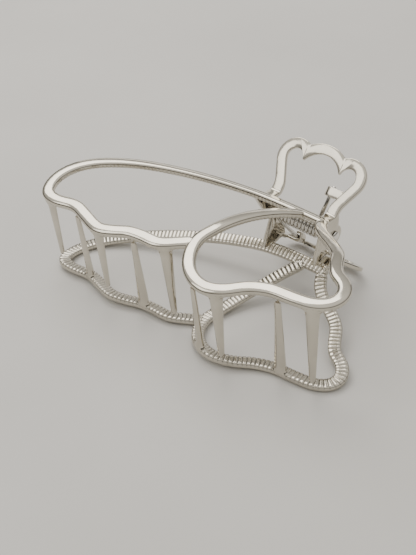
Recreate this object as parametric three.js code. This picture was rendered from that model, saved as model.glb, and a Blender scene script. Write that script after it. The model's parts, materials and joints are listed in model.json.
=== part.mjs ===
// A large metal butterfly claw clip: two mirrored open-frame jaws on one riveted hinge pin,
// held closed by a torsion spring. Each jaw is a casting whose members (rims, strut, teeth, ears,
// handle and spring tab) are separate solids here.
// Millimetres, +Z up. X runs along the hinge pin, Y from the jaws towards the finger handles.
import * as THREE from 'three';

// ---- driving dimensions ----
const BAND_WIDTH = 4.0;          // rims, strut and hinge bar
const BAND_THICKNESS = 2.2;
const MEMBER_GAP = 0.3;          // between members that meet
const DOME = { atPin: 7.95, rise: 16.75, fall: 7.13, span: 30 };   // height of the outer face over Y
const REST_TILT = THREE.MathUtils.degToRad(5.68);  // lying on the two wings and the lower handle

const BAR_Y = -6;                // hinge bar's centre line over the ears
const BAR_END_X = 13.3;

const PIN_RADIUS = 1.2;
const PIN_HOLE_RADIUS = 1.5;
const RIVET_RADIUS = 1.7;
const RIVET_HEIGHT = 0.9;
const EAR_THICKNESS = 1.5;
const EAR_ROUND_RADIUS = 3.6;    // round the pin
const EAR_BACK_Y = 2.1;
const EAR_FRONT_ANGLE = THREE.MathUtils.degToRad(202);   // where its front edge leaves the arc
// An ear's top follows the undersides of the bar and of the handle foot, if one is over it,
// as (y, z) points. The upper jaw's ears are outside the lower jaw's.
const UPPER_EARS = {
  left: { x: -13.9, top: [[EAR_BACK_Y, 5.4], [-6.3, 8.2], [-9.2, 9.6]] },
  right: { x: 10.6, top: [[EAR_BACK_Y, 10.2], [-0.9, 7.6], [-4.9, 7.6], [-7.7, 8.9]] },
};
const LOWER_EARS = {
  left: { x: -11.3, top: [[EAR_BACK_Y, 10.2], [-0.9, 7.6], [-5.0, 7.6], [-6.3, 8.2], [-9.0, 9.5]] },
  right: { x: 8.2, top: [[EAR_BACK_Y, 5.4], [-4.6, 7.6], [-7.7, 8.9]] },
};

const HANDLE = {
  footY: -1.74, footZ: 8.38,     // where its mid-plane starts, behind the hinge bar
  pitch: THREE.MathUtils.degToRad(42.8),
  thickness: 1.4,
  band: 3.4,                     // round the lobes
  legBand: 3.8,
  start: 0.9,                    // along the leg, where the upright part begins
  straight: 2.6,                 // length of leg before it flares into the side lobe
  flare: THREE.MathUtils.degToRad(24),
  footHalfWidth: 12.8,
  sideLobe: { x: 10.1, e: 13.05, r: 6.45 },
  middleLobe: { e: 9.4, r: 11.2 },
};
const FOOT = { top: 9.45, bottom: 8.0, leftStartY: -4.7, rightStartY: -3.7 };

const TAB = { centreX: 7.6, width: 4.45, along: 7.3, length: 3.0, thickness: 2.2, drop: 0.4 };

const TOOTH = { rootWidth: 4.3, tipWidth: 1.9, rootThickness: 1.6, tipThickness: 1.2, rootGap: 0.8 };
// rim, place along X, and the space left between the tip and the other jaw
const UPPER_TEETH = [
  { rim: 'big', x: -62.6, tipGap: 4.4 },
  { rim: 'big', x: -39.2, tipGap: 2.8 },
  { rim: 'big', x: -16.1, tipGap: 1.9 },
  { rim: 'small', x: 8.2, tipGap: 0.9 },
  { rim: 'small', x: 34.6, tipGap: 1.0 },
];
const LOWER_TEETH = [
  { rim: 'big', x: -51.0, tipGap: 1.2 },
  { rim: 'big', x: -27.5, tipGap: 1.2 },
  { rim: 'small', x: 0.5, tipGap: 1.2 },
  { rim: 'small', x: 24.4, tipGap: 1.0 },
];

const SPRING = {
  wire: 1.4, meanRadius: 2.6, left: -9.7, right: 5.3, legStartY: 0.4, tabX: 6.6, legToTab: 0.55,
};

// Centre lines in plan, seen square to the mirror plane between the jaws.
const BAR = [[BAR_END_X, BAR_Y], [4, BAR_Y], [-5, -6.4], [-BAR_END_X, -7.5]];
const BIG_RIM = [
  [-13.6, -7.6], [-19, -8.9], [-27.5, -11.5], [-38.6, -16], [-49.5, -21.7], [-58, -28],
  [-63.6, -33.9], [-66.9, -40.6], [-67.3, -46.9], [-65.1, -51.2], [-60.2, -52], [-52.4, -50.6],
  [-45.4, -52.2], [-39.2, -53.6], [-33.8, -52], [-29.4, -49.9], [-24.2, -49], [-17.9, -48.5],
  [-12.3, -44.9],
];
const SMALL_RIM = [
  [-8.4, -42.5], [-6.4, -47.2], [-2, -51.9], [4.7, -53.8], [10.7, -51.6], [15.6, -47.7],
  [21.7, -44.8], [29.2, -43.7], [35.2, -42.3], [38.8, -39.2], [39.3, -34.9], [36.6, -31],
  [32.4, -28.6], [29.8, -25], [27.2, -20.5], [22.2, -16.8], [16.8, -13.5], [13.4, -9.9],
];
const STRUT = [[2.1, -9.8], [0.3, -12.6], [-3.4, -20.4], [-6.2, -28.7], [-7.7, -35.4], [-8.3, -41.2]];

// ---- shared shape functions ----

// Height of a jaw's outer face above the mirror plane, and its slope, at a distance y from the pin.
function domeHeight(y) {
  const s = -y / DOME.span;
  return DOME.atPin + DOME.rise * s - DOME.fall * s * s;
}

function domeSlope(y) {
  return (-DOME.rise - 2 * DOME.fall * y / DOME.span) / DOME.span;
}

// A station of a band: a point on the outer face's centre line, with its three directions.
function bandStation(point, direction) {
  const normal = new THREE.Vector3(0, -domeSlope(point.y), 1).normalize();
  const along = new THREE.Vector3(direction.x, direction.y, direction.y * domeSlope(point.y)).normalize();
  const side = new THREE.Vector3().crossVectors(along, normal);
  const centre = new THREE.Vector3(point.x, point.y, domeHeight(point.y));
  return { centre, side, normal };
}

// The band's section: flat inner face, gently domed outer face. [sideways, out of the outer face]
function bandSection(width) {
  const half = width / 2;
  const t = BAND_THICKNESS;
  return [
    [-half, -t], [half, -t], [half, -0.85], [half - 0.45, -0.25], [half - 1.3, 0],
    [-half + 1.3, 0], [-half + 0.45, -0.25], [-half, -0.85],
  ];
}

// A closed solid through equal rings of points, with flat ends.
function solidFromRings(rings) {
  const size = rings[0].length;
  const positions = rings.flat().flatMap((p) => [p.x, p.y, p.z]);
  const faces = [];
  for (let ring = 0; ring + 1 < rings.length; ring += 1) {
    for (let i = 0; i < size; i += 1) {
      const a = ring * size + i;
      const b = ring * size + (i + 1) % size;
      faces.push(a, b, b + size, a, b + size, a + size);
    }
  }
  const last = (rings.length - 1) * size;
  for (let i = 1; i + 1 < size; i += 1) {
    faces.push(0, i + 1, i);
    faces.push(last, last + i, last + i + 1);
  }
  const geometry = new THREE.BufferGeometry();
  geometry.setAttribute('position', new THREE.Float32BufferAttribute(positions, 3));
  geometry.setIndex(faces);
  return facingOut(geometry);
}

function signedVolume(geometry) {
  const position = geometry.getAttribute('position');
  const index = geometry.getIndex();
  const corner = [0, 1, 2].map(() => new THREE.Vector3());
  let volume = 0;
  for (let i = 0; i < index.count; i += 3) {
    corner.forEach((v, k) => v.fromBufferAttribute(position, index.getX(i + k)));
    volume += corner[0].dot(corner[1].clone().cross(corner[2])) / 6;
  }
  return volume;
}

function flipFaces(geometry) {
  const index = geometry.getIndex().array;
  for (let i = 0; i < index.length; i += 3) {
    [index[i], index[i + 1]] = [index[i + 1], index[i]];
  }
  return geometry;
}

function facingOut(geometry) {
  return signedVolume(geometry) < 0 ? flipFaces(geometry) : geometry;
}

function planCurve(points) {
  const places = points.map(([x, y]) => new THREE.Vector3(x, y, 0));
  const curve = new THREE.CatmullRomCurve3(places, false, 'centripetal');
  curve.arcLengthDivisions = 400;
  return curve;
}

// A band that follows a plan curve over the jaw's dome.
function bandAlong(points, stations) {
  const curve = planCurve(points);
  const rings = [];
  for (let i = 0; i <= stations; i += 1) {
    const at = i / stations;
    const { centre, side, normal } = bandStation(curve.getPointAt(at), curve.getTangentAt(at));
    rings.push(bandSection(BAND_WIDTH).map(([a, b]) => (
      centre.clone().addScaledVector(side, a).addScaledVector(normal, b))));
  }
  return solidFromRings(rings);
}

// A flat plate square to X, from an outline drawn in (y, z).
function plateAcrossX(shape, centreX, thickness) {
  const options = { depth: thickness, bevelEnabled: false, curveSegments: 12 };
  const geometry = new THREE.ExtrudeGeometry(shape, options);
  const axes = new THREE.Matrix4().makeBasis(
    new THREE.Vector3(0, 1, 0), new THREE.Vector3(0, 0, 1), new THREE.Vector3(1, 0, 0));
  geometry.applyMatrix4(axes);
  return geometry.translate(centreX - thickness / 2, 0, 0);
}

// ---- members of a jaw, all drawn for the upper jaw ----

function hingeBar() {
  return bandAlong(BAR, 10);
}

// An ear drops from the hinge bar to the pin, round which it ends in an arc.
function ear({ x, top }) {
  const arcEnd = Math.acos(EAR_BACK_Y / EAR_ROUND_RADIUS);
  const shape = new THREE.Shape();
  shape.absarc(0, 0, EAR_ROUND_RADIUS, EAR_FRONT_ANGLE, arcEnd, false);
  top.forEach(([y, z]) => shape.lineTo(y, z));
  const hole = new THREE.Path();
  hole.absarc(0, 0, PIN_HOLE_RADIUS, 0, Math.PI * 2, true);
  shape.holes.push(hole);
  return plateAcrossX(shape, x, EAR_THICKNESS);
}

// A foot carries a handle leg back from the hinge bar, to where the leg turns upright.
function handleFoot(side) {
  const legEnd = (out) => {
    const e = HANDLE.start - MEMBER_GAP;
    return [
      HANDLE.footY + e * Math.cos(HANDLE.pitch) - out * Math.sin(HANDLE.pitch),
      HANDLE.footZ + e * Math.sin(HANDLE.pitch) + out * Math.cos(HANDLE.pitch),
    ];
  };
  const startY = side > 0 ? FOOT.rightStartY : FOOT.leftStartY;
  const shape = new THREE.Shape([
    [startY, FOOT.bottom], legEnd(-HANDLE.thickness / 2), legEnd(HANDLE.thickness / 2),
    [startY, FOOT.top],
  ].map(([y, z]) => new THREE.Vector2(y, z)));
  return plateAcrossX(shape, side * (HANDLE.footHalfWidth - HANDLE.legBand / 2), HANDLE.legBand);
}

// The handle's outline in its own plane, inset at the lobes and at the legs for the opening.
// (x, e): e runs up the handle from the hinge bar.
function handleOutline(inset, legInset) {
  const side = { ...HANDLE.sideLobe, r: HANDLE.sideLobe.r - inset };
  const middle = { ...HANDLE.middleLobe, r: HANDLE.middleLobe.r - inset };
  const distance = Math.hypot(side.x, side.e - middle.e);
  const toSide = Math.atan2(side.e - middle.e, side.x);
  const atMiddle = Math.acos((distance ** 2 + middle.r ** 2 - side.r ** 2) / (2 * distance * middle.r));
  const notch = {
    x: middle.r * Math.cos(toSide + atMiddle),
    e: middle.e + middle.r * Math.sin(toSide + atMiddle),
  };
  const notchAngle = Math.atan2(notch.e - side.e, notch.x - side.x);
  const footX = HANDLE.footHalfWidth - legInset;
  const kneeE = HANDLE.start + HANDLE.straight;
  const outline = new THREE.Path();
  outline.moveTo(footX, HANDLE.start);
  outline.lineTo(footX, kneeE);
  outline.absarc(side.x, side.e, side.r, -HANDLE.flare, notchAngle, false);
  outline.absarc(0, middle.e, middle.r, toSide + atMiddle, Math.PI - toSide - atMiddle, false);
  outline.absarc(-side.x, side.e, side.r, Math.PI - notchAngle, Math.PI + HANDLE.flare, false);
  outline.lineTo(-footX, kneeE);
  outline.lineTo(-footX, HANDLE.start);
  return outline.getPoints(9);
}

// Places a solid drawn in the handle's plane (x, e, out of its upper face).
function ontoHandlePlane(geometry) {
  const axes = new THREE.Matrix4().makeBasis(
    new THREE.Vector3(1, 0, 0),
    new THREE.Vector3(0, Math.cos(HANDLE.pitch), Math.sin(HANDLE.pitch)),
    new THREE.Vector3(0, -Math.sin(HANDLE.pitch), Math.cos(HANDLE.pitch)));
  geometry.applyMatrix4(axes);
  return geometry.translate(0, HANDLE.footY, HANDLE.footZ);
}

// The handle is an open frame of one band with three lobes at its finger end.
function handle() {
  const outer = handleOutline(0, 0);
  const inner = handleOutline(HANDLE.band, HANDLE.legBand).reverse();
  const shape = new THREE.Shape([...outer, ...inner]);
  const geometry = new THREE.ExtrudeGeometry(shape, { depth: HANDLE.thickness, bevelEnabled: false });
  geometry.translate(0, 0, -HANDLE.thickness / 2);
  return ontoHandlePlane(geometry);
}

// The tab on the inner side of a handle leg, which a spring leg presses on.
function springTab(side) {
  const geometry = new THREE.BoxGeometry(TAB.width, TAB.length, TAB.thickness);
  geometry.translate(side * TAB.centreX, TAB.along, -TAB.drop);
  return ontoHandlePlane(geometry);
}

// The rim's station whose centre is nearest to a place along X, on the clip's front edge.
function frontStation(points, x) {
  const curve = planCurve(points);
  const steps = 600;
  let best = 0;
  let nearest = Infinity;
  for (let i = 0; i <= steps; i += 1) {
    const point = curve.getPointAt(i / steps);
    const away = Math.abs(point.x - x) + (point.y > -38 ? 1000 : 0);
    if (away < nearest) {
      nearest = away;
      best = i / steps;
    }
  }
  return { point: curve.getPointAt(best), tangent: curve.getTangentAt(best) };
}

// A tooth hangs from the outer side wall of the rim and tapers towards the other jaw.
function tooth({ rim, x, tipGap }) {
  const { point, tangent } = frontStation(rim === 'big' ? BIG_RIM : SMALL_RIM, x);
  const across = new THREE.Vector3(tangent.x, tangent.y, 0).normalize();
  const outward = new THREE.Vector3(across.y, -across.x, 0);
  if (outward.y > 0) outward.negate();
  const wall = BAND_WIDTH / 2;
  const rootY = point.y + outward.y * (wall - TOOTH.rootThickness / 2);
  const underside = domeHeight(rootY) - BAND_THICKNESS * Math.hypot(1, domeSlope(rootY));
  const rootZ = underside - TOOTH.rootGap;
  const tipZ = -(underside - tipGap);
  const sections = [[0, 0], [0.3, 0], [0.65, 0], [0.92, 0], [1, 0.35]];
  const rings = sections.map(([f, rounding]) => {
    const halfWidth = THREE.MathUtils.lerp(TOOTH.rootWidth, TOOTH.tipWidth, f) / 2 * (1 - rounding);
    const thickness = THREE.MathUtils.lerp(TOOTH.rootThickness, TOOTH.tipThickness, f);
    const z = THREE.MathUtils.lerp(rootZ, tipZ, f);
    const corners = [[-1, 0], [1, 0], [1, 0.6], [0.6, 1], [-0.6, 1], [-1, 0.6]];
    return corners.map(([a, b]) => new THREE.Vector3(point.x, point.y, z)
      .addScaledVector(across, a * halfWidth)
      .addScaledVector(outward, wall - thickness + b * thickness));
  });
  return solidFromRings(rings);
}

// ---- pin and spring ----

function hingePin() {
  const left = UPPER_EARS.left.x - EAR_THICKNESS / 2 - MEMBER_GAP;
  const right = UPPER_EARS.right.x + EAR_THICKNESS / 2 + MEMBER_GAP;
  const profile = [
    [0, left - RIVET_HEIGHT], [RIVET_RADIUS * 0.62, left - RIVET_HEIGHT * 0.8], [RIVET_RADIUS, left],
    [PIN_RADIUS, left], [PIN_RADIUS, right],
    [RIVET_RADIUS, right], [RIVET_RADIUS * 0.62, right + RIVET_HEIGHT * 0.8], [0, right + RIVET_HEIGHT],
  ];
  const geometry = new THREE.LatheGeometry(profile.map(([r, h]) => new THREE.Vector2(r, h)), 20);
  return geometry.rotateZ(-Math.PI / 2);
}

// The coil is one hollow sleeve of its outer size; it sits on the pin between the inner ears.
function springCoil() {
  const inner = SPRING.meanRadius - SPRING.wire / 2;
  const outer = SPRING.meanRadius + SPRING.wire / 2;
  const { left, right } = SPRING;
  const profile = [[inner, left], [outer, left], [outer, right], [inner, right], [inner, left]];
  const geometry = new THREE.LatheGeometry(profile.map(([r, h]) => new THREE.Vector2(r, h)), 20);
  return geometry.rotateZ(-Math.PI / 2);
}

// A spring leg runs from the coil to the underside of a handle's tab, drawn for the upper jaw.
function springLeg(side) {
  const startX = side > 0 ? SPRING.right - SPRING.wire / 2 : SPRING.left + SPRING.wire / 2;
  const below = HANDLE.thickness / 2 + TAB.thickness / 2 + SPRING.wire / 2 + SPRING.legToTab;
  const end = new THREE.Vector3(side * SPRING.tabX, TAB.along + 1, -below);
  end.applyAxisAngle(new THREE.Vector3(1, 0, 0), HANDLE.pitch);
  end.add(new THREE.Vector3(0, HANDLE.footY, HANDLE.footZ));
  const start = new THREE.Vector3(startX, SPRING.legStartY, SPRING.meanRadius + SPRING.wire + MEMBER_GAP);
  const along = end.clone().sub(start).normalize();
  const sideways = new THREE.Vector3().crossVectors(along, new THREE.Vector3(0, 0, 1)).normalize();
  const up = new THREE.Vector3().crossVectors(sideways, along);
  const sides = 8;
  const ring = (centre) => Array.from({ length: sides }, (_, i) => centre.clone()
    .addScaledVector(sideways, Math.cos(i / sides * Math.PI * 2) * SPRING.wire / 2)
    .addScaledVector(up, Math.sin(i / sides * Math.PI * 2) * SPRING.wire / 2));
  return solidFromRings([ring(start), ring(end)]);
}

// ---- materials ----

const CASTING = { color: 0xd8d4cb, roughness: 0.18, metalness: 1.0 };
const STEEL = { color: 0xb4b3af, roughness: 0.3, metalness: 1.0 };

function mesh(name, geometry, look = CASTING) {
  const piece = new THREE.Mesh(geometry, new THREE.MeshStandardMaterial(look));
  piece.name = name;
  return piece;
}

// Turns a geometry drawn for the upper jaw into the lower jaw's mirror image.
function mirrored(geometry) {
  const indexed = geometry.getIndex() ? geometry : withIndex(geometry);
  indexed.scale(1, 1, -1);
  return flipFaces(indexed);
}

function withIndex(geometry) {
  const count = geometry.getAttribute('position').count;
  geometry.setIndex(Array.from({ length: count }, (_, i) => i));
  return geometry;
}

// ---- assembly ----

function jaw(prefix, teeth, ears, tabSide, place) {
  const group = new THREE.Group();
  const add = (name, geometry) => group.add(mesh(`${prefix}_${name}`, place(geometry)));
  add('hinge_bar', hingeBar());
  add('big_wing_rim', bandAlong(BIG_RIM, 64));
  add('small_wing_rim', bandAlong(SMALL_RIM, 52));
  add('centre_strut', bandAlong(STRUT, 14));
  add('left_ear', ear(ears.left));
  add('right_ear', ear(ears.right));
  add('handle', handle());
  add('left_handle_foot', handleFoot(-1));
  add('right_handle_foot', handleFoot(1));
  add('spring_tab', springTab(tabSide));
  teeth.forEach((spec, i) => add(`tooth_${i + 1}`, tooth(spec)));
  return group;
}

const clip = new THREE.Group();
clip.add(jaw('upper', UPPER_TEETH, UPPER_EARS, 1, (geometry) => geometry));
clip.add(jaw('lower', LOWER_TEETH, LOWER_EARS, -1, mirrored));
clip.add(mesh('hinge_pin', hingePin(), STEEL));
clip.add(mesh('torsion_spring_coil', springCoil(), STEEL));
clip.add(mesh('torsion_spring_upper_leg', springLeg(1), STEEL));
clip.add(mesh('torsion_spring_lower_leg', mirrored(springLeg(-1)), STEEL));
clip.rotation.x = REST_TILT;

// The frame's origin is under the middle of the clip, on the surface that it lies on.
const model = new THREE.Group();
model.add(clip);
const box = new THREE.Box3().setFromObject(model, true);
clip.position.set(-(box.min.x + box.max.x) / 2, -(box.min.y + box.max.y) / 2, -box.min.z);

export default model;
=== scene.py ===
import json
import math

import bmesh
import bpy
import numpy as np
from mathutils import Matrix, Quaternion, Vector


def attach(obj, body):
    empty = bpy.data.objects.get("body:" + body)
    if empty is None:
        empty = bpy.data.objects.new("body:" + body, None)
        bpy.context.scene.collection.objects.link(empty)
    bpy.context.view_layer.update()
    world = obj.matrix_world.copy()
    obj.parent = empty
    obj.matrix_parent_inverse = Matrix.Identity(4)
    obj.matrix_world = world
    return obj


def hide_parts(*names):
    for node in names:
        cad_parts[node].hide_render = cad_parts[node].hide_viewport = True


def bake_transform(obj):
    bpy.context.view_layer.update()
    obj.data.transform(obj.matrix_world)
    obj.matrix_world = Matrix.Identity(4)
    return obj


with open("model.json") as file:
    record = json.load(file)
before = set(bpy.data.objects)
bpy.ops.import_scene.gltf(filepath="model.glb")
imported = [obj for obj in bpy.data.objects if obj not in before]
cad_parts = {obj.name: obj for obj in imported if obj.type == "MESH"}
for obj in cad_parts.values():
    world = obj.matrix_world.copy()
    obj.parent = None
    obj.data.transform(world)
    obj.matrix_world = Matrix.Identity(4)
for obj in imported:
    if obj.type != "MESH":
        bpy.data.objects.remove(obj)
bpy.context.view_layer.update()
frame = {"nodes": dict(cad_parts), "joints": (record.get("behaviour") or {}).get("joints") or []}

# ---- the clip's own frame ----
# Shapes are drawn in millimetres: the pin's middle is the origin, X runs along the pin, Y towards the
# handles, and Z is square to the plane between the two jaws. The lower jaw mirrors the upper in Z.
MM = 0.001
REST_TILT = math.radians(5.68)
PIN_PLACE = np.array(frame["joints"][0]["pos_m"])

BAND_HALF = 2.0
BAND_THICKNESS = 2.2
CROWN = {"drop": 0.95, "power": 2.5, "points": 15}
# (in from the side wall, out from the inner face) along the inner face's rounded edge
INNER_EDGE = [(0.0, 0.42), (0.1, 0.16), (0.36, 0.0), (1.2, 0.0)]
RIB = {"pitch": 1.36, "depth": 0.24, "steps": 8, "groove": 0.3, "crowning": 0.25}
DOME = {"at_pin": 7.95, "rise": 16.75, "fall": 7.13, "span": 30.0}

# The hinge bar runs on into the big wing's rim, and the centre strut into the small wing's rim.
BAR_AND_BIG_RIM = [
    (13.3, -6.0), (4.0, -6.0), (-5.0, -6.4), (-12.5, -7.35), (-19.0, -8.9), (-27.5, -11.5),
    (-38.6, -16.0), (-49.5, -21.7), (-58.0, -28.0), (-63.6, -33.9), (-66.9, -40.6), (-67.3, -46.9),
    (-65.1, -51.2), (-60.2, -52.0), (-52.4, -50.6), (-45.4, -52.2), (-39.2, -53.6), (-33.8, -52.0),
    (-29.4, -49.9), (-24.2, -49.0), (-17.9, -48.5), (-12.3, -44.9), (-8.7, -42.4),
]
STRUT_AND_SMALL_RIM = [
    (4.4, -6.2), (2.1, -9.8), (0.3, -12.6), (-3.4, -20.4), (-6.2, -28.7), (-7.7, -35.4),
    (-8.5, -41.2), (-6.4, -47.2), (-2.0, -51.9), (4.7, -53.8), (10.7, -51.6), (15.6, -47.7),
    (21.7, -44.8), (29.2, -43.7), (35.2, -42.3), (38.8, -39.2), (39.3, -34.9), (36.6, -31.0),
    (32.4, -28.6), (29.8, -25.0), (27.2, -20.5), (22.2, -16.8), (16.8, -13.5), (13.2, -9.6),
    (12.0, -6.6),
]
PATH_STEP = RIB["pitch"] / RIB["steps"]
PATH_SOFTENING = 1.3
BAND_END = {"round": 1.9, "sunk_length": 3.0, "sunk_depth": 0.12}

TOOTH = {
    "root_width": 4.0, "tip_width": 1.9, "root_thickness": 1.5, "tip_thickness": 1.2,
    "fillet": 1.5, "into_rim": 1.5, "proud": 0.22, "sink": 1.6, "crown": 0.75, "corner": 0.3,
    "straighten": 3.5, "rows": 46, "row_growth": 1.25, "tip_rows": 9,
}
# (rim, place along X, space left between the tip and the other jaw)
UPPER_TEETH = [
    ("big", -62.6, 4.4), ("big", -39.2, 2.8), ("big", -16.1, 1.9), ("small", 8.2, 0.9), ("small", 34.6, 1.0),
]
LOWER_TEETH = [("big", -51.0, 1.2), ("big", -27.5, 1.2), ("small", 0.5, 1.2), ("small", 24.4, 1.0)]

HANDLE = {
    "foot_y": -1.74, "foot_z": 8.38, "pitch": math.radians(42.8), "foot_pitch": math.radians(-9.0),
    "bend": (-0.6, 1.5), "start": -4.4, "knee": 3.5, "knee_softening": 1.0, "straight_from": 4.0,
    "top": 26.0, "flare": math.radians(24.0),
    "thickness": 1.4, "band": 3.4, "leg_band": 3.8, "half_width": 12.8, "corner": 0.3, "blunting": 4,
    "side_lobe": (10.1, 13.05, 6.45), "middle_lobe": (0.0, 9.4, 11.2),
}

PIN_RADIUS = 1.2
EAR = {"thickness": 1.5, "round": 3.6, "hole": 1.32, "front_angle": math.radians(202.0), "corner": 0.25}
# (place along X, the (y, z) points of its top, which sinks into the bar and the handle's foot)
UPPER_EARS = [
    (-13.9, [(2.0, 5.2), (-6.5, 9.6), (-9.3, 10.8)]),
    (10.6, [(2.1, 11.4), (-0.9, 8.8), (-5.0, 9.2), (-7.4, 9.8)]),
]
LOWER_EARS = [
    (-11.3, [(2.1, 11.4), (-0.9, 8.8), (-6.0, 9.3), (-9.0, 10.5)]),
    (8.2, [(2.1, 5.4), (-4.6, 9.2), (-7.4, 9.8)]),
]

RIVET = {"radius": 1.66, "height": 0.88, "gap": 0.06, "rim": 0.12}

WIRE_END_TAPER = (0.72, 0.93, 1.0)
SPRING = {
    "wire": 1.34, "radius": 2.6, "pitch": 1.42, "turns": 10, "start": -9.3, "sides": 14,
    "tab_e": (5.9, 8.3), "tab_out": -1.5, "tab_x": 6.6, "end_e": 9.4,
}
TAB = {"e": (5.8, 8.8), "thickness": 0.85, "curl": 1.05, "corner": 0.2, "leg_x": 12.0}


# ---- numbers and rings ----

def unit(v):
    return v / np.linalg.norm(v, axis=-1, keepdims=True)


def smoothstep(t):
    t = np.clip(t, 0.0, 1.0)
    return t * t * (3.0 - 2.0 * t)


def resample(points, step):
    """The polyline's points again, equally spaced, about one step apart."""
    points = np.asarray(points, float)
    lengths = np.r_[0.0, np.cumsum(np.linalg.norm(np.diff(points, axis=0), axis=1))]
    count = max(2, int(round(lengths[-1] / step)) + 1)
    at = np.linspace(0.0, lengths[-1], count)
    return np.stack([np.interp(at, lengths, column) for column in points.T], axis=1)


def catmull_rom(points, per_span=40):
    """A centripetal Catmull-Rom curve through the points."""
    p = np.asarray(points, float)
    p = np.vstack([2 * p[0] - p[1], p, 2 * p[-1] - p[-2]])
    curve = []
    for i in range(1, len(p) - 2):
        d = [math.sqrt(np.linalg.norm(p[i + k] - p[i + k - 1])) for k in range(3)]
        before, here, after = p[i] - p[i - 1], p[i + 1] - p[i], p[i + 2] - p[i + 1]
        m1 = (before / d[0] - (p[i + 1] - p[i - 1]) / (d[0] + d[1]) + here / d[1]) * d[1]
        m2 = (here / d[1] - (p[i + 2] - p[i]) / (d[1] + d[2]) + after / d[2]) * d[1]
        t = np.linspace(0.0, 1.0, per_span, endpoint=False)[:, None]
        curve.append(
            (2 * t**3 - 3 * t**2 + 1) * p[i] + (t**3 - 2 * t**2 + t) * m1
            + (3 * t**2 - 2 * t**3) * p[i + 1] + (t**3 - t**2) * m2
        )
    return np.vstack([*curve, p[-2]])


def soften(points, spread, step):
    """Evens out a path's bends over about the spread, and keeps its ends."""
    reach = int(round(3 * spread / step))
    weights = np.exp(-0.5 * (np.arange(-reach, reach + 1) * step / spread) ** 2)
    weights /= weights.sum()
    before = 2 * points[0] - points[reach:0:-1]
    after = 2 * points[-1] - points[-2:-reach - 2:-1]
    padded = np.vstack([before, points, after])
    return np.stack([np.convolve(column, weights, mode="valid") for column in padded.T], axis=1)


def ring_faces(ring_count, ring_size, closed):
    """Quads between rings of points, and a flat cap at each end unless the rings close on themselves."""
    faces = []
    for ring in range(ring_count if closed else ring_count - 1):
        low, high = ring * ring_size, (ring + 1) % ring_count * ring_size
        for i in range(ring_size):
            j = (i + 1) % ring_size
            faces.append((low + i, low + j, high + j, high + i))
    if not closed:
        faces.append(tuple(range(ring_size)))
        faces.append(tuple((ring_count - 1) * ring_size + i for i in reversed(range(ring_size))))
    return faces


def shell(rings, closed=False, recess=None):
    """A closed surface through rings of points. recess is how deep in a groove each point lies, 0 to 1."""
    rings = np.asarray(rings, float)
    recess = np.zeros(rings.shape[:2]) if recess is None else recess
    return {
        "points": rings.reshape(-1, 3),
        "faces": ring_faces(rings.shape[0], rings.shape[1], closed),
        "recess": recess.reshape(-1),
    }


# ---- bands over the dome ----

def dome_height(y):
    s = -y / DOME["span"]
    return DOME["at_pin"] + DOME["rise"] * s - DOME["fall"] * s * s


def dome_slope(y):
    return (-DOME["rise"] - 2 * DOME["fall"] * y / DOME["span"]) / DOME["span"]


def band_path(points):
    """Plan points every PATH_STEP along a band's centre line."""
    path = soften(resample(catmull_rom(points), PATH_STEP), PATH_SOFTENING, PATH_STEP)
    return resample(path, PATH_STEP)


def stations(path):
    """Centre on the outer face, direction along, direction sideways and outward normal at each path point."""
    tangent = unit(np.gradient(path, axis=0))
    slope = dome_slope(path[:, 1])
    centre = np.column_stack([path, dome_height(path[:, 1])])
    normal = unit(np.column_stack([np.zeros(len(path)), -slope, np.ones(len(path))]))
    along = unit(np.column_stack([tangent, tangent[:, 1] * slope]))
    return centre, along, np.cross(along, normal), normal


def band_section():
    """Points round a band: (sideways, outward, share of the rib's depth). Its outer face is crowned."""
    theta = np.linspace(0.0, math.pi, CROWN["points"])
    power = 2 / CROWN["power"]
    sideways = BAND_HALF * np.sign(np.cos(theta)) * np.abs(np.cos(theta)) ** power
    outward = CROWN["drop"] * (np.sin(theta) ** power - 1)
    inner = [(a - BAND_HALF, b) for a, b in INNER_EDGE]
    inner += [(BAND_HALF - a, b) for a, b in reversed(INNER_EDGE)]
    crown_rows = [(a, b, 0.0) for a, b in zip(sideways, outward)]
    return np.array(crown_rows + [(a, b - BAND_THICKNESS, 1.0) for a, b in inner])


def band(path):
    """A band along a path, ribbed across its inner face. Its ends are round, and sunk a little."""
    centre, _, side, normal = stations(path)
    along = np.arange(len(path)) * PATH_STEP
    phase = np.abs((along / RIB["pitch"]) % 1.0 - 0.5)
    groove = 1 - smoothstep(phase / RIB["groove"])
    groove += RIB["crowning"] * (phase / 0.5) ** 4
    to_end = np.minimum(along, along[-1] - along)
    sunk = BAND_END["sunk_depth"] * (1 - smoothstep(to_end / BAND_END["sunk_length"]))
    narrowing = np.sqrt(1 - np.clip(1 - to_end / BAND_END["round"], 0.0, 0.98) ** 2)
    section = band_section()
    outward = section[None, :, 1] + RIB["depth"] * groove[:, None] * section[None, :, 2] - sunk[:, None]
    sideways = section[None, :, :1] * narrowing[:, None, None]
    rings = centre[:, None] + side[:, None] * sideways + normal[:, None] * outward[:, :, None]
    # The groove depth is kept as the recess attribute, which darkens the metal's base colour there as painted
    # shade.
    return shell(rings, recess=np.clip(groove, 0, 1)[:, None] * section[None, :, 2])


# ---- teeth ----

def front_index(path, x):
    """The path point at a place along X on the clip's front edge."""
    away = np.abs(path[:, 0] - x) + np.where(path[:, 1] > -38.0, 1000.0, 0.0)
    return int(np.argmin(away))


def tooth_half_width(down, length):
    width = np.interp(down, [0.0, length], [TOOTH["root_width"], TOOTH["tip_width"]]) / 2
    r = TOOTH["fillet"]
    into = np.clip(r - down, 0.0, r)
    tip = TOOTH["tip_width"] / 2
    past = np.clip((down - (length - tip)) / tip, 0.0, 0.985)
    return (width + r - np.sqrt(r * r - into * into)) * np.sqrt(1 - past * past)


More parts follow.
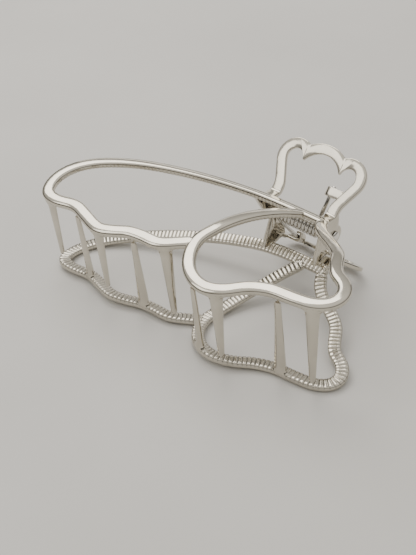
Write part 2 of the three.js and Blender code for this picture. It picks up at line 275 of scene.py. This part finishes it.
def tooth_rows(length):
    """Distances down a tooth, from inside the rim to the tip, closest together round the tip."""
    tip = TOOTH["tip_width"] / 2
    inside = np.linspace(-TOOTH["into_rim"], 0, 4)[:-1]
    rows = np.r_[inside, length * np.linspace(0, 1, TOOTH["rows"]) ** TOOTH["row_growth"]]
    round_tip = length - tip + tip * np.sin(np.linspace(0, math.pi / 2, TOOTH["tip_rows"]))
    return np.sort(np.r_[rows[rows < length - tip], round_tip])


def crowned_strip(half_width, thickness, crown, corner):
    """(across, inward) points round a tooth's section: a crowned front face and a flat back."""
    corner = min(corner, half_width * 0.5)
    crown = min(crown, half_width * 0.6)
    front = [(half_width * t, crown * t * t) for t in np.linspace(-1, 1, 9)]
    back = []
    for a, start in ((half_width - corner, 0), (-half_width + corner, 90)):
        for turn in (0, 30, 60, 90):
            angle = math.radians(start + turn)
            back.append((a + corner * math.cos(angle), thickness - corner + corner * math.sin(angle)))
    return np.array(front + back)


def rounded_strip(half_width, thickness, corner):
    """(across, inward) points round a thin rounded rectangle, its front face at inward 0."""
    corner = min(corner, half_width * 0.6)
    centres = [
        (half_width - corner, corner, -90), (half_width - corner, thickness - corner, 0),
        (-half_width + corner, thickness - corner, 90), (-half_width + corner, corner, 180),
    ]
    points = []
    for a, b, start in centres:
        for turn in (0, 30, 60, 90):
            angle = math.radians(start + turn)
            points.append((a + corner * math.cos(angle), b + corner * math.sin(angle)))
    return np.array(points)


def tooth(path, x, tip_gap):
    """A flat tapering tooth that flares into the rim's outer side wall and hangs towards the other jaw."""
    i = front_index(path, x)
    centre, along, side, normal = stations(path)
    sign = -np.sign(side[i][1])
    wall = centre + sign * side * BAND_HALF - normal * BAND_THICKNESS
    root = wall[i]
    tip_z = -(root[2] - tip_gap)
    down = np.array([0.0, 0.0, -1.0])
    length = root[2] - tip_z
    level = unit(np.array([along[i][0], along[i][1], 0.0]))
    facing = unit(sign * side[i] * [1, 1, 0])
    rows = tooth_rows(length)
    rings = []
    place = root + normal[i] * TOOTH["into_rim"]
    for k, row in enumerate(rows):
        lean = float(smoothstep(row / TOOTH["straighten"]))
        if k:
            place = place + unit(-normal[i] * (1 - lean) + down * lean) * (row - rows[k - 1])
        inward = -unit(sign * side[i] * (1 - lean) + facing * lean)
        half = float(tooth_half_width(max(row, 0.0), length))
        thickness = np.interp(row, [0, length], [TOOTH["root_thickness"], TOOTH["tip_thickness"]])
        ring = []
        proud = TOOTH["proud"] * (1 - TOOTH["sink"] * smoothstep(-row / TOOTH["into_rim"]))
        for across, depth in crowned_strip(half, thickness, TOOTH["crown"], TOOTH["corner"]):
            beside = i + across / PATH_STEP * np.sign(along[i] @ level)
            follow = np.array([np.interp(beside, np.arange(len(wall)), wall[:, c]) for c in range(3)])
            straight = root + level * across
            bend = (follow - straight) * (1 - lean)
            ring.append(place + level * across + bend + inward * (depth - proud))
        rings.append(ring)
    return shell(rings)


# ---- handle ----

def arc(centre_x, centre_e, radius, start, end, count):
    angle = np.linspace(start, end, count)
    return np.column_stack([centre_x + radius * np.cos(angle), centre_e + radius * np.sin(angle)])


def handle_outline(inset, leg_inset):
    """(x, e) points of the handle's outline, e running up the handle from the hinge bar."""
    side_x, side_e, side_r = HANDLE["side_lobe"]
    _, middle_e, middle_r = HANDLE["middle_lobe"]
    side_r, middle_r = side_r - inset, middle_r - inset
    distance = math.hypot(side_x, side_e - middle_e)
    to_side = math.atan2(side_e - middle_e, side_x)
    at_middle = math.acos((distance**2 + middle_r**2 - side_r**2) / (2 * distance * middle_r))
    notch_x = middle_r * math.cos(to_side + at_middle)
    notch_e = middle_e + middle_r * math.sin(to_side + at_middle)
    notch_angle = math.atan2(notch_e - side_e, notch_x - side_x) % (2 * math.pi)
    lobe = arc(side_x, side_e, side_r, -HANDLE["flare"], notch_angle, 30)
    foot_x = HANDLE["half_width"] - leg_inset
    leg = np.array([(foot_x, HANDLE["start"]), (foot_x, HANDLE["knee"]), tuple(lobe[0])])
    leg = rounded_leg(leg)
    crown = arc(0.0, middle_e, middle_r, to_side + at_middle, math.pi - to_side - at_middle, 34)
    right = np.vstack([leg, lobe[1:]])
    left = right[::-1] * [-1, 1]
    return np.vstack([right, crown[1:-1], left])


def rounded_leg(corners):
    """The leg from its foot over a soft knee to the lobe, as equally many points on either outline."""
    lengths = np.r_[0.0, np.cumsum(np.linalg.norm(np.diff(corners, axis=0), axis=1))]
    at = np.linspace(0.0, lengths[-1], 60)
    line = np.stack([np.interp(at, lengths, column) for column in corners.T], axis=1)
    return soften(line, HANDLE["knee_softening"], at[1])


def leg_profile():
    """Distance e, and the handle's mid-line (y, z) and pitch there: level at the foot, then bent up."""
    e = np.linspace(HANDLE["start"] - 0.5, HANDLE["top"], 800)
    low, high = HANDLE["bend"]
    lean = smoothstep((e - low) / (high - low))
    pitch = HANDLE["foot_pitch"] * (1 - lean) + HANDLE["pitch"] * lean
    step = e[1] - e[0]
    y = np.cumsum(np.cos(pitch)) * step
    z = np.cumsum(np.sin(pitch)) * step
    anchor = np.searchsorted(e, HANDLE["straight_from"])
    y += HANDLE["foot_y"] + e[anchor] * math.cos(HANDLE["pitch"]) - y[anchor]
    z += HANDLE["foot_z"] + e[anchor] * math.sin(HANDLE["pitch"]) - z[anchor]
    return e, y, z, pitch


LEG_PROFILE = leg_profile()


def onto_handle(points):
    """Handle points (x, e, out of its upper face) in the clip's frame."""
    points = np.asarray(points, float)
    e, y, z, pitch = LEG_PROFILE
    x, at, out = points[..., 0], points[..., 1], points[..., 2]
    angle = np.interp(at, e, pitch)
    return np.stack([
        x,
        np.interp(at, e, y) - out * np.sin(angle),
        np.interp(at, e, z) + out * np.cos(angle),
    ], axis=-1)


def frame_rings(outer, inner, thickness, corner):
    """Rings round a flat frame between an outer and an inner outline, with rounded edges. (u, v, height)"""
    rings = []
    for o, i in zip(outer, inner):
        width = float(np.linalg.norm(i - o))
        across = (i - o) / width
        section = rounded_strip(width / 2, thickness, corner)
        plan = o + across * (section[:, :1] + width / 2)
        rings.append(np.column_stack([plan, section[:, 1] - thickness / 2]))
    return np.array(rings)


def blunted(outline, passes):
    """The outline with its sharp points worn down, its first and last points kept."""
    outline = outline.copy()
    for _ in range(passes):
        outline[1:-1] = 0.25 * outline[:-2] + 0.5 * outline[1:-1] + 0.25 * outline[2:]
    return outline


def handle():
    outer = handle_outline(0.0, 0.0)
    inner = blunted(handle_outline(HANDLE["band"], HANDLE["leg_band"]), HANDLE["blunting"])
    return shell(onto_handle(frame_rings(outer, inner, HANDLE["thickness"], HANDLE["corner"])))


def spring_tab(side):
    """A tongue from a handle leg's inner edge, curled down round the end of the spring."""
    radius = TAB["curl"]
    centre_x, centre_out = SPRING["tab_x"], SPRING["tab_out"]
    top = centre_out + radius + TAB["thickness"] / 2
    start = np.array([(TAB["leg_x"], -0.1), (TAB["leg_x"] - 1.2, 0.0)])
    turn = np.radians(np.linspace(88, 300, 24))
    reach = radius + TAB["thickness"] / 2
    curl = np.column_stack([centre_x + reach * np.cos(turn), centre_out + reach * np.sin(turn)])
    line = resample(catmull_rom(np.vstack([start, [(centre_x + 1.1, top)], curl]), 12), 0.3)
    tangent = unit(np.gradient(line, axis=0))
    low, high = TAB["e"]
    rings = []
    for (x, out), (tx, tout) in zip(line, tangent):
        section = rounded_strip((high - low) / 2, TAB["thickness"], TAB["corner"])
        offset = section[:, 1] - TAB["thickness"] / 2
        rings.append(np.column_stack([
            side * (x - tout * offset), (low + high) / 2 + section[:, 0], out + tx * offset,
        ]))
    return shell(onto_handle(np.array(rings)))


# ---- ears ----

def ear(centre_x, top):
    """A plate that drops from the hinge bar and ends in an arc round the pin, with the pin's hole in it."""
    back_y = top[0][0]
    arc_end = math.acos(back_y / EAR["round"])
    round_end = arc(0.0, 0.0, EAR["round"], EAR["front_angle"] - 2 * math.pi, arc_end, 60)
    outline = np.vstack([round_end, top, round_end[:1]])
    outer = resample(outline, 0.3)[:-1]
    inner = EAR["hole"] * unit(outer)
    rings = frame_rings(outer, inner, EAR["thickness"], EAR["corner"])
    return shell(np.stack([rings[..., 2] + centre_x, rings[..., 0], rings[..., 1]], axis=-1), closed=True)


# ---- pin and spring ----

def hinge_pin():
    """The pin with a domed rivet head at each end."""
    radius, height = RIVET["radius"], RIVET["height"]
    rim = RIVET["rim"]
    half = [(PIN_RADIUS, -0.05), (PIN_RADIUS + 0.05, 0.0), (radius * 0.93, 0.0), (radius, rim)]
    for angle in np.radians(np.linspace(8, 84, 9)):
        half.append((radius * math.cos(angle), rim + (height - rim) * math.sin(angle)))
    out = EAR["thickness"] / 2 + RIVET["gap"]
    left, right = UPPER_EARS[0][0] - out, UPPER_EARS[1][0] + out
    profile = [(r, left - h) for r, h in reversed(half)] + [(r, right + h) for r, h in half]
    angles = np.linspace(0, 2 * math.pi, 48, endpoint=False)
    return shell([[(h, r * math.cos(a), r * math.sin(a)) for a in angles] for r, h in profile])


def tab_point(side, e, out):
    point = onto_handle(np.array([side * SPRING["tab_x"], e, out]))
    return point * [1, 1, side]


def spring_line():
    """The wire's centre line: lower tab, close coil round the pin, upper tab."""
    radius = SPRING["radius"]
    low, high = SPRING["tab_e"]
    entry = tab_point(1, low, SPRING["tab_out"])
    reach = math.hypot(entry[1], entry[2])
    leave = math.atan2(entry[2], entry[1]) - math.asin(radius / reach)
    turn = np.arange(math.pi + leave, 2 * math.pi * (SPRING["turns"] + 1) - leave, math.radians(12))
    travel = SPRING["pitch"] * (turn - turn[0]) / (2 * math.pi)
    coil = np.column_stack([SPRING["start"] + travel, radius * np.sin(turn), radius * np.cos(turn)])
    lead_in = [tab_point(-1, e, SPRING["tab_out"]) for e in (SPRING["end_e"], high, low)]
    lead_out = [tab_point(1, e, SPRING["tab_out"]) for e in (low, high, SPRING["end_e"])]
    return resample(catmull_rom(np.vstack([lead_in, coil, lead_out]), 10), 0.28)


def tube(line, radius, sides):
    """A round wire along a line, with rounded ends."""
    tangent = unit(np.gradient(line, axis=0))
    normal = unit(np.cross(tangent[0], [1.0, 0.0, 0.0]))
    rings = []
    for i, (point, along) in enumerate(zip(line, tangent)):
        normal = unit(normal - along * (normal @ along))
        other = np.cross(along, normal)
        to_end = min(i, len(line) - 1 - i)
        size = radius * WIRE_END_TAPER[min(to_end, 2)]
        angles = np.linspace(0, 2 * math.pi, sides, endpoint=False)[:, None]
        rings.append(point + size * (np.cos(angles) * normal + np.sin(angles) * other))
    return shell(rings)


# ---- materials ----

def node(tree, kind, inputs=(), **settings):
    made = tree.nodes.new(kind)
    for name, value in settings.items():
        setattr(made, name, value)
    for name, value in dict(inputs).items():
        if isinstance(value, bpy.types.NodeSocket):
            tree.links.new(value, made.inputs[name])
        else:
            made.inputs[name].default_value = value
    return made


def ramp(tree, factor, stops):
    made = node(tree, "ShaderNodeValToRGB", {"Fac": factor})
    elements = made.color_ramp.elements
    for element, (position, colour) in zip([elements[0], elements[1]], [stops[0], stops[-1]]):
        element.position = position
        element.color = colour
    for position, colour in stops[1:-1]:
        elements.new(position).color = colour
    return made.outputs["Color"]


def metal(name, light, dark, roughness, ripple, grain):
    """Polished metal: faint tone patches, painted shade in the rib grooves, soft ripples of the surface, and
    fine wear in the gloss.
    """
    material = bpy.data.materials.new(name)
    material.use_nodes = True
    tree = material.node_tree
    shader = tree.nodes["Principled BSDF"]
    shader.inputs["Metallic"].default_value = 1.0
    place = node(tree, "ShaderNodeTexCoord").outputs["Object"]
    patches = node(tree, "ShaderNodeTexNoise", {"Vector": place, "Scale": 140.0, "Detail": 3.0})
    fine = node(tree, "ShaderNodeTexNoise", {
        "Vector": place, "Scale": grain, "Detail": 4.0, "Roughness": 0.6})
    recess = node(tree, "ShaderNodeAttribute", attribute_name="recess")
    tone = ramp(tree, patches.outputs["Fac"], [(0.3, dark), (0.7, light)])
    # Painted shade: the base colour is darkened down to 0.72 in the rib grooves, where the recess attribute
    # is high.
    shade = node(tree, "ShaderNodeMapRange", {
        "Value": recess.outputs["Fac"], "To Min": 1.0, "To Max": 0.72})
    dimmed = node(
        tree, "ShaderNodeVectorMath", {0: tone, "Scale": shade.outputs["Result"]}, operation="SCALE")
    tree.links.new(dimmed.outputs["Vector"], shader.inputs["Base Color"])
    low, high = roughness
    gloss = node(tree, "ShaderNodeMapRange", {
        "Value": fine.outputs["Fac"], "From Min": 0.3, "From Max": 0.7, "To Min": low, "To Max": high})
    dull = node(
        tree, "ShaderNodeMath", {0: recess.outputs["Fac"], 1: 0.12, 2: gloss.outputs["Result"]},
        operation="MULTIPLY_ADD")
    tree.links.new(dull.outputs["Value"], shader.inputs["Roughness"])
    swell = node(tree, "ShaderNodeTexNoise", {"Vector": place, "Scale": 330.0, "Detail": 1.0})
    bump = node(tree, "ShaderNodeBump", {
        "Strength": 1.0, "Distance": ripple, "Height": swell.outputs["Fac"]})
    pits = node(tree, "ShaderNodeBump", {
        "Strength": 1.0, "Distance": ripple * 0.06, "Height": fine.outputs["Fac"],
        "Normal": bump.outputs["Normal"]})
    tree.links.new(pits.outputs["Normal"], shader.inputs["Normal"])
    return material


def floor_material():
    material = bpy.data.materials.new("floor_paper")
    material.use_nodes = True
    tree = material.node_tree
    shader = tree.nodes["Principled BSDF"]
    shader.inputs["Roughness"].default_value = 0.75
    place = node(tree, "ShaderNodeTexCoord").outputs["Object"]
    cloud = node(tree, "ShaderNodeTexNoise", {"Vector": place, "Scale": 9.0, "Detail": 4.0})
    tone = ramp(tree, cloud.outputs["Fac"], [(0.3, (0.68, 0.665, 0.64, 1)), (0.7, (0.74, 0.725, 0.70, 1))])
    tree.links.new(tone, shader.inputs["Base Color"])
    return material


# ---- pieces ----

def to_row_frame(points):
    """Points of the clip's own frame, in millimetres, as points of the row frame, in metres."""
    c, s = math.cos(REST_TILT), math.sin(REST_TILT)
    turn = np.array([[1, 0, 0], [0, c, -s], [0, s, c]])
    return points @ turn.T * MM + PIN_PLACE


def piece(name, shells, material, nodes):
    """One mesh object from closed shells, which stands for some CAD nodes."""
    points, faces, recess = [], [], []
    for part in shells:
        start = sum(len(p) for p in points)
        points.append(part["points"])
        recess.append(part["recess"])
        faces.extend(tuple(start + v for v in face) for face in part["faces"])
    mesh = bpy.data.meshes.new(name)
    mesh.from_pydata(to_row_frame(np.vstack(points)).tolist(), [], faces)
    # recess drives the painted shade in the rib grooves and a little extra roughness there.
    mesh.attributes.new("recess", "FLOAT", "POINT").data.foreach_set("value", np.concatenate(recess))
    work = bmesh.new()
    work.from_mesh(mesh)
    bmesh.ops.recalc_face_normals(work, faces=work.faces)
    for face in work.faces:
        face.smooth = True
    work.to_mesh(mesh)
    work.free()
    mesh.set_sharp_from_angle(angle=math.radians(38))
    mesh.materials.append(material)
    made = bpy.data.objects.new(name, mesh)
    bpy.context.scene.collection.objects.link(made)
    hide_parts(*nodes)
    return made


def mirrored(part):
    return {**part, "points": part["points"] * [1, 1, -1]}


def jaw(teeth, ears, tab_side):
    """All the shells of one jaw, drawn as the upper jaw."""
    paths = {"big": band_path(BAR_AND_BIG_RIM), "small": band_path(STRUT_AND_SMALL_RIM)}
    shells = [band(path) for path in paths.values()]
    shells += [tooth(paths[rim], x, gap) for rim, x, gap in teeth]
    shells += [ear(x, top) for x, top in ears]
    shells += [handle(), spring_tab(tab_side)]
    return shells


def nodes_of(prefix):
    return sorted(name for name in frame["nodes"] if name.startswith(prefix))


plating = metal(
    "plated_casting", light=(0.65, 0.612, 0.535, 1), dark=(0.575, 0.54, 0.465, 1),
    roughness=(0.07, 0.14), ripple=0.00003, grain=2600.0)
pin_steel = metal(
    "pin_steel", light=(0.86, 0.84, 0.80, 1), dark=(0.74, 0.72, 0.68, 1),
    roughness=(0.08, 0.16), ripple=0.00002, grain=2600.0)
spring_steel = metal(
    "spring_steel", light=(0.74, 0.72, 0.68, 1), dark=(0.6, 0.585, 0.55, 1),
    roughness=(0.12, 0.24), ripple=0.00001, grain=3600.0)

upper = piece("upper_jaw_casting", jaw(UPPER_TEETH, UPPER_EARS, 1),
              plating, nodes_of("upper_"))
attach(upper, "upper_jaw")

lower_shells = [mirrored(part) for part in jaw(LOWER_TEETH, LOWER_EARS, -1)]
lower = piece("lower_jaw_casting", lower_shells, plating, nodes_of("lower_"))
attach(lower, "lower_jaw")

pin = piece("riveted_pin", [hinge_pin()], pin_steel, ["hinge_pin"])
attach(pin, "lower_jaw")

wire = spring_line()
spring = piece("spring_wire", [tube(wire, SPRING["wire"] / 2, SPRING["sides"])],
               spring_steel, nodes_of("torsion_spring_"))
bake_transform(spring)

# ---- floor, light and camera ----

FLOOR_DROP = 0.0001
FLOOR_SIZE = 6.0

floor_mesh = bpy.data.meshes.new("floor")
reach = FLOOR_SIZE / 2
floor_plan = [(-reach, -reach), (reach, -reach), (reach, reach), (-reach, reach)]
floor_corners = [(x, y, -FLOOR_DROP) for x, y in floor_plan]
floor_mesh.from_pydata(floor_corners, [], [(0, 1, 2, 3)])
floor_mesh.materials.append(floor_material())
floor = bpy.data.objects.new("floor", floor_mesh)
bpy.context.scene.collection.objects.link(floor)

world = bpy.data.worlds.new("studio")
world.use_nodes = True
sky_tree = world.node_tree
direction = node(sky_tree, "ShaderNodeTexCoord").outputs["Generated"]
height = node(sky_tree, "ShaderNodeSeparateXYZ", {"Vector": direction}).outputs["Z"]
sky = ramp(sky_tree, height, [
    (0.0, (0.02, 0.02, 0.02, 1)), (0.22, (0.03, 0.03, 0.029, 1)), (0.42, (0.50, 0.485, 0.45, 1)),
    (0.9, (1.0, 0.975, 0.92, 1))])
backdrop = node(sky_tree, "ShaderNodeMix", {
    "Factor": node(sky_tree, "ShaderNodeLightPath").outputs["Is Camera Ray"]}, data_type="RGBA")
sky_tree.links.new(sky, backdrop.inputs[6])
backdrop.inputs[7].default_value = (0.55, 0.54, 0.52, 1)
sky_tree.links.new(backdrop.outputs[2], sky_tree.nodes["Background"].inputs["Color"])
bpy.context.scene.world = world


def area_light(name, place, aim, size, power, colour=(1.0, 0.97, 0.92)):
    light = bpy.data.lights.new(name, "AREA")
    light.shape = "RECTANGLE"
    light.size, light.size_y = size
    light.energy = power
    light.color = colour
    made = bpy.data.objects.new(name, light)
    made.location = place
    made.rotation_mode = "QUATERNION"
    made.rotation_quaternion = (Vector(aim) - Vector(place)).to_track_quat("-Z", "Y")
    bpy.context.scene.collection.objects.link(made)


area_light("key_light", (-0.5, 0.15, 0.8), (0, 0, 0.02), (0.7, 0.6), 4.4)
area_light("front_light", (-0.41, -0.50, 0.62), (0.014, 0.026, 0.038), (0.34, 0.34), 0.75)
area_light("back_light", (-0.48, 0.85, 0.27), (0, 0, 0.03), (1.1, 0.3), 1.2)

CAMERA = {
    "from_pin": (0.1410, -0.20165, 0.16877), "direction": (-0.532, 0.5816, -0.616),
    "roll": math.radians(-0.9), "lens": 59.3,
}
camera_data = bpy.data.cameras.new("camera")
camera_data.lens = CAMERA["lens"]
camera_data.sensor_width = 36.0
camera_data.clip_start = 0.01
camera_data.clip_end = 10.0
camera = bpy.data.objects.new("camera", camera_data)
camera.location = Vector(PIN_PLACE) + Vector(CAMERA["from_pin"])
camera.rotation_mode = "QUATERNION"
camera.rotation_quaternion = (
    Vector(CAMERA["direction"]).to_track_quat("-Z", "Y") @ Quaternion((0, 0, 1), CAMERA["roll"]))
bpy.context.scene.collection.objects.link(camera)
bpy.context.scene.camera = camera
